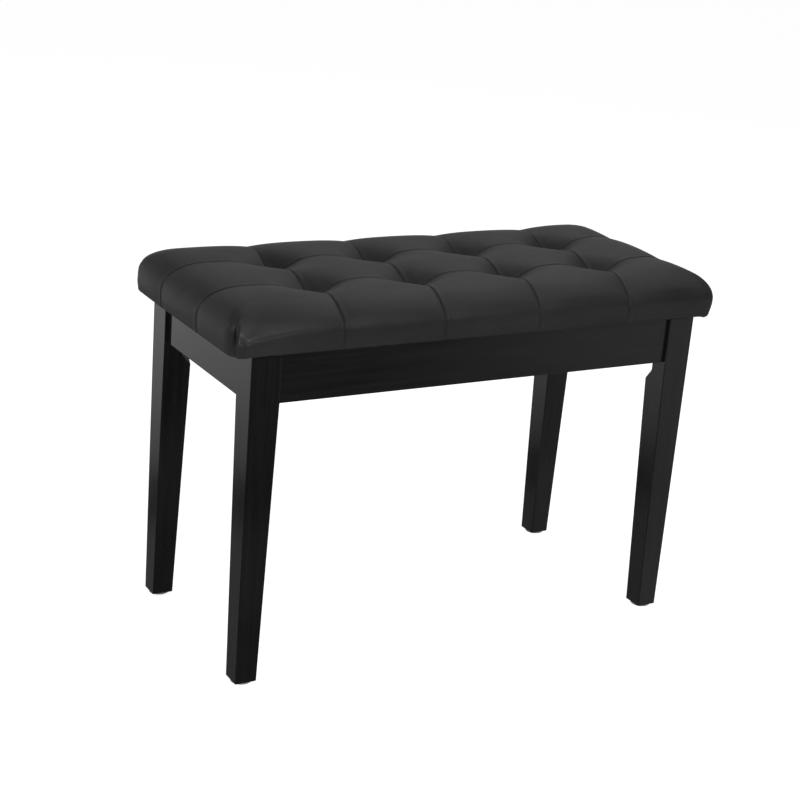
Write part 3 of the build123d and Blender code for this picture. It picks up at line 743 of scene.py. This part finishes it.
def world():
    """A studio bright to the left and behind, a pale card at the front right and a low one in front.

    The camera itself sees plain white behind the bench. Only light and reflections see the room.
    """
    made = bpy.data.worlds.new("studio")
    made.use_nodes = True
    tree = made.node_tree
    background = tree.nodes["Background"]
    coords = tree.nodes.new("ShaderNodeTexCoord").outputs["Generated"]

    def toward(direction, low, high, to_low, to_high):
        """A level that changes with how nearly a ray points along direction."""
        dot = tree.nodes.new("ShaderNodeVectorMath")
        dot.operation = "DOT_PRODUCT"
        dot.inputs[1].default_value = Vector(direction).normalized()
        tree.links.new(coords, dot.inputs[0])
        level = tree.nodes.new("ShaderNodeMapRange")
        level.interpolation_type = "SMOOTHSTEP"
        for key, value in zip((1, 2, 3, 4), (low, high, to_low, to_high)):
            level.inputs[key].default_value = value
        tree.links.new(dot.outputs["Value"], level.inputs[0])
        return level.outputs[0]

    def join(operation, a, b):
        joined = tree.nodes.new("ShaderNodeMath")
        joined.operation = operation
        tree.links.new(a, joined.inputs[0])
        tree.links.new(b, joined.inputs[1])
        return joined.outputs[0]

    def by_height(*stops):
        """A level that changes with the height a ray points at, from (sine of the elevation, level)."""
        apart = tree.nodes.new("ShaderNodeSeparateXYZ")
        tree.links.new(coords, apart.inputs[0])
        share = tree.nodes.new("ShaderNodeMapRange")
        share.inputs[1].default_value = -1.0
        tree.links.new(apart.outputs["Z"], share.inputs[0])
        ramp = tree.nodes.new("ShaderNodeValToRGB")
        tree.links.new(share.outputs[0], ramp.inputs["Fac"])
        elements = ramp.color_ramp.elements
        while len(elements) < len(stops):
            elements.new(0.5)
        for element, (height, level) in zip(elements, stops):
            element.position = (height + 1) / 2
            element.color = (level, level, level, 1.0)
        return ramp.outputs[0]

    room = toward((-0.35, 0.85, -0.30), -0.9, 0.97, 0.05, 0.44)
    room_bands = by_height((-0.48, 0.20), (-0.405, 0.26), (-0.39, 0.07), (-0.375, 0.12),
                           (-0.362, 0.42), (-0.28, 1.0), (0.0, 1.0), (0.12, 0.8), (0.3, 0.48))
    card = toward((0.80, -0.58, -0.15), 0.90, 0.97, 0.0, 0.20)
    card_bands = by_height((-0.48, 0.9), (-0.462, 0.4), (-0.448, 1.2), (-0.40, 1.3),
                           (-0.35, 0.8), (-0.2, 1.0))
    low_front = toward((0.45, -0.80, -0.42), 0.90, 0.99, 0.0, 0.07)
    low_bands = by_height((-0.475, 0.5), (-0.462, 0.1), (-0.452, 0.15), (-0.44, 1.0),
                          (-0.405, 0.9), (-0.385, 0.1))
    light = join("ADD", join("MULTIPLY", room, room_bands), join("MULTIPLY", card, card_bands))
    light = join("ADD", light, join("MULTIPLY", low_front, low_bands))
    seen = tree.nodes.new("ShaderNodeLightPath").outputs["Is Camera Ray"]
    tree.links.new(join("MAXIMUM", seen, light), background.inputs["Strength"])
    background.inputs["Color"].default_value = (1.0, 1.0, 1.0, 1.0)
    bpy.context.scene.world = made


def floor():
    s = Shader("paper_floor", Roughness=0.9, Specular_IOR_Level=0.1)
    grain = s.noise((300, 300, 300), detail=3)
    s.colour(s.ramp(grain, (0.3, (0.86, 0.86, 0.86)), (0.7, (0.90, 0.90, 0.90))))
    s.surface.inputs["Emission Color"].default_value = (1, 1, 1, 1)
    s.surface.inputs["Emission Strength"].default_value = 0.9
    half, level = 20000.0, -0.3
    corners = [(-half, -half, level), (half, -half, level), (half, half, level), (-half, half, level)]
    ground = make_object("floor", corners, [(0, 1, 2, 3)], s.done(), smooth=False)
    ground.visible_glossy = False


finish_cad_nodes()
camera()
world()
floor()
softbox("key", (0.9, 1.7, 1.9), (0, 0, 0.4), (2.2, 1.2), 2.6)
softbox("top", (1.2, 0.5, 2.5), (0, 0, 0.4), (2.2, 1.6), 8.0)
softbox("fill", (0.5, -1.4, 2.4), (0, 0, 0.4), (1.6, 1.2), 3.6)
softbox("glint", (-0.25, -1.7, 1.85), (-0.3, -0.15, 0.48), (0.3, 0.25), 11)
softbox("left", (-2.2, 0.5, 1.8), (-0.3, 0, 0.45), (1.2, 0.9), 6)
bpy.context.scene.view_settings.view_transform = "Standard"
build_cushion()
build_lining()
